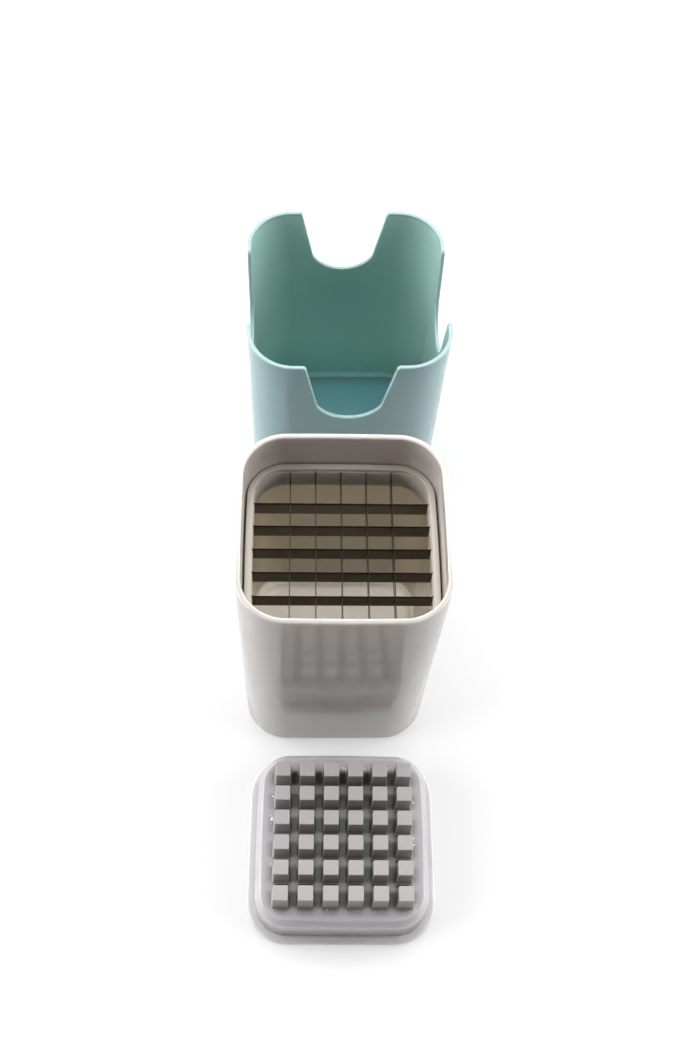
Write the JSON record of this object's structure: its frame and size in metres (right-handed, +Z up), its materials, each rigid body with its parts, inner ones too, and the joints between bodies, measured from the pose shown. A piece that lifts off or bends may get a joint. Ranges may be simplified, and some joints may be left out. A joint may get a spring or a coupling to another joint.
{
  "type": "vegetable dicer",
  "caption": "Press-type potato chip cutter in its loose pieces: a container with a lift-out blade grid, a notched press hood, and a pusher plate with square studs.",
  "frame": {"origin": "middle of the base container's underside, on the surface it stands on", "axes": "+Z up; the three loose pieces stand in a row along Y, the hood towards +Y and the pusher towards -Y"},
  "size_m": [0.1086, 0.3625, 0.16],
  "materials": {
    "container_plastic": "gloss",
    "cassette_plastic": "satin",
    "blade_steel": "bright",
    "hood_plastic": "gloss",
    "pusher_plastic": "satin"
  },
  "bodies": {
    "base": {"base_container": "container_plastic"},
    "cassette": {"blade_carrier_ring": "cassette_plastic", "blade_clamp_ring": "cassette_plastic", "cross_blade_1": "blade_steel", "cross_blade_2": "blade_steel", "cross_blade_3": "blade_steel", "cross_blade_4": "blade_steel", "cross_blade_5": "blade_steel", "long_blade_1": "blade_steel", "long_blade_2": "blade_steel", "long_blade_3": "blade_steel", "long_blade_4": "blade_steel", "long_blade_5": "blade_steel"},
    "hood": {"press_hood": "hood_plastic"},
    "pusher": {"pusher_plate": "pusher_plastic"}
  },
  "joints": [
    {"name": "cassette_lift", "type": "slide", "parent": "base", "child": "cassette", "axis": [0, 0, 1], "range_m": [0, 0.045]},
    {"name": "hood_lift", "type": "slide", "parent": "base", "child": "hood", "axis": [0, 0, 1], "range_m": [0, 0.17]},
    {"name": "pusher_lift", "type": "slide", "parent": "base", "child": "pusher", "axis": [0, 0, 1], "range_m": [0, 0.17]}
  ]
}
